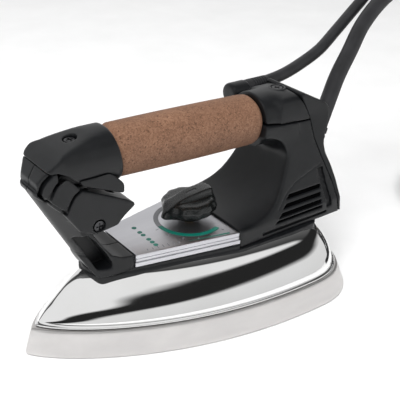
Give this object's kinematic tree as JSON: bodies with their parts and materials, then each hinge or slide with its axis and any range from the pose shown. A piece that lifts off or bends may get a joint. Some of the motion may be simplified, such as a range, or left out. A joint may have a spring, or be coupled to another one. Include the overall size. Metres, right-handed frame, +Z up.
{
  "type": "clothes iron",
  "caption": "Professional steam iron with a mirror-bright shell, a cork grip on two black posts, a thermostat knob, a steam trigger, a power cable and a steam hose.",
  "frame": {"origin": "bottom centre of the iron's bounding box without its cords: the middle of the soleplate's face, on the table", "axes": "+X from the nose to the heel, -Y the iron's left side, +Z up from the soleplate"},
  "size_m": [0.4713, 0.1907, 0.182],
  "materials": {
    "sole_metal": "satin",
    "mirror_shell": "mirror",
    "plate_metal": "brushed",
    "dial_paint": "satin",
    "black_plastic": "satin",
    "knob_plastic": "semi-gloss",
    "cork": "matte",
    "cord_rubber": "matte",
    "steel": "satin",
    "spring_steel": "bright",
    "brass": "satin",
    "copper_pipe": "satin",
    "element_sheath": "dull",
    "cast_alloy": "cast",
    "ceramic_white": "glazed",
    "white_plastic": "satin",
    "red_plastic": "satin",
    "wire_insulation": "satin",
    "tie_fabric": "woven"
  },
  "bodies": {
    "root": {"soleplate": "sole_metal", "heating_element": "element_sheath", "element_terminals": "brass", "chamber_cover": "cast_alloy", "chamber_screws": "steel", "thermostat_body": "ceramic_white", "thermostat_bush": "brass", "thermal_fuse": "ceramic_white", "spacer_tubes": "steel", "base_screws": "steel", "steam_pipe": "copper_pipe", "shell_cover": "mirror_shell", "insulating_base": "black_plastic", "control_plate": "plate_metal", "dial_ring": "dial_paint", "post_left": "black_plastic", "post_right": "black_plastic", "post_screw": "steel", "post_screw_nut": "steel", "front_cap": "black_plastic", "front_cap_screw": "steel", "trigger_pin": "steel", "trigger_spring": "spring_steel", "microswitch": "black_plastic", "handle_tube": "steel", "cork_grip": "cork", "front_bush": "black_plastic", "rear_bush": "black_plastic", "rear_housing": "black_plastic", "rear_top_cap": "black_plastic", "rear_cap_screw": "steel", "rear_cover": "black_plastic", "rear_cover_screws": "steel", "vent_grille_left": "black_plastic", "vent_grille_right": "black_plastic", "terminal_block": "white_plastic", "terminal_screws": "brass", "cord_clamp": "black_plastic", "element_wires": "wire_insulation", "switch_wires": "wire_insulation", "supply_wires": "wire_insulation", "cable_boot": "cord_rubber", "hose_boot": "cord_rubber", "cable": "cord_rubber", "cable_coil": "cord_rubber", "cable_tail": "cord_rubber", "connector": "black_plastic", "hose": "cord_rubber", "hose_coil": "cord_rubber", "hose_tail": "cord_rubber", "hose_fitting": "brass", "coil_tie": "tie_fabric"},
    "knob_body": {"spindle": "brass", "knob": "knob_plastic", "knob_pointer": "white_plastic", "knob_clip": "spring_steel"},
    "trigger_body": {"trigger": "black_plastic"},
    "plunger_body": {"switch_plunger": "red_plastic"}
  },
  "joints": [
    {"name": "knob_turn", "type": "hinge", "parent": "root", "child": "knob_body", "pos_m": [0.004, 0, 0.06], "axis": [0, 0, 1], "range_deg": [-110, 110]},
    {"name": "trigger_press", "type": "hinge", "parent": "root", "child": "trigger_body", "pos_m": [-0.088, 0, 0.1075], "axis": [0, 1, 0], "range_deg": [0, 3.5], "stiffness_Nm_per_rad": 0.8, "springref_deg": -4.58, "deforming": ["trigger_spring"]},
    {"name": "plunger_slide", "type": "slide", "parent": "root", "child": "plunger_body", "axis": [0, 0, -1], "range_m": [0, 0.00185]}
  ],
  "couplings": [
    {"joint": "plunger_slide", "follows": "trigger_press", "m_per_rad": 0.028}
  ]
}
